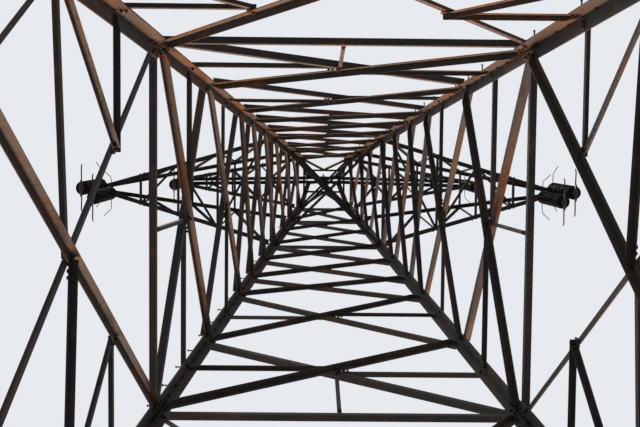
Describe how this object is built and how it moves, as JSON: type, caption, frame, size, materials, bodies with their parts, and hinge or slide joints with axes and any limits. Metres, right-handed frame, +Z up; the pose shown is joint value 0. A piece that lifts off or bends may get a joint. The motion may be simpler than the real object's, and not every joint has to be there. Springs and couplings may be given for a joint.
{
  "type": "lattice transmission pylon",
  "caption": "Lattice steel transmission pylon with crossed bracing, two levels of crossarms, hanging disc insulator strings and an earth wire clamp on its ridge.",
  "frame": {"origin": "middle of the four feet at ground level", "axes": "+Z up, arms along X, line along Y, front face toward -Y"},
  "size_m": [10.014, 7.37, 31.221],
  "materials": {
    "leg_steel": "weathered grey-green paint over galvanised angle, rusty at the edges",
    "brace_steel": "weathered grey paint over galvanised angle, brown stains",
    "arm_steel": "weathered grey paint over galvanised angle",
    "base_steel": "weathered grey paint, dusty",
    "fitting_steel": "dull galvanised forgings",
    "porcelain": "dark brown glaze"
  },
  "bodies": {
    "root": {"base_brace_back": "brace_steel", "base_brace_front": "brace_steel", "base_brace_left": "brace_steel", "base_brace_right": "brace_steel", "base_plates": "base_steel", "body_panel_back": "brace_steel", "body_panel_front": "brace_steel", "body_panel_left": "brace_steel", "body_panel_right": "brace_steel", "earth_wire_clamp": "fitting_steel", "fittings_lower_left": "fitting_steel", "fittings_lower_right": "fitting_steel", "fittings_upper_left": "fitting_steel", "fittings_upper_right": "fitting_steel", "head_panel_back": "brace_steel", "head_panel_front": "brace_steel", "head_panel_left": "brace_steel", "head_panel_right": "brace_steel", "insulators_lower_left": "porcelain", "insulators_lower_right": "porcelain", "insulators_upper_left": "porcelain", "insulators_upper_right": "porcelain", "leg_lower_back_left": "leg_steel", "leg_lower_back_right": "leg_steel", "leg_lower_front_left": "leg_steel", "leg_lower_front_right": "leg_steel", "leg_upper_back_left": "leg_steel", "leg_upper_back_right": "leg_steel", "leg_upper_front_left": "leg_steel", "leg_upper_front_right": "leg_steel", "lower_arm_left": "arm_steel", "lower_arm_right": "arm_steel", "lower_panel_back": "brace_steel", "lower_panel_front": "brace_steel", "lower_panel_left": "brace_steel", "lower_panel_right": "brace_steel", "plan_brace_low": "brace_steel", "plan_brace_middle": "brace_steel", "plan_brace_top": "brace_steel", "ridge": "arm_steel", "step_bolts_back_left": "fitting_steel", "step_bolts_front_right": "fitting_steel", "upper_arm_left": "arm_steel", "upper_arm_right": "arm_steel"}
  },
  "joints": []
}
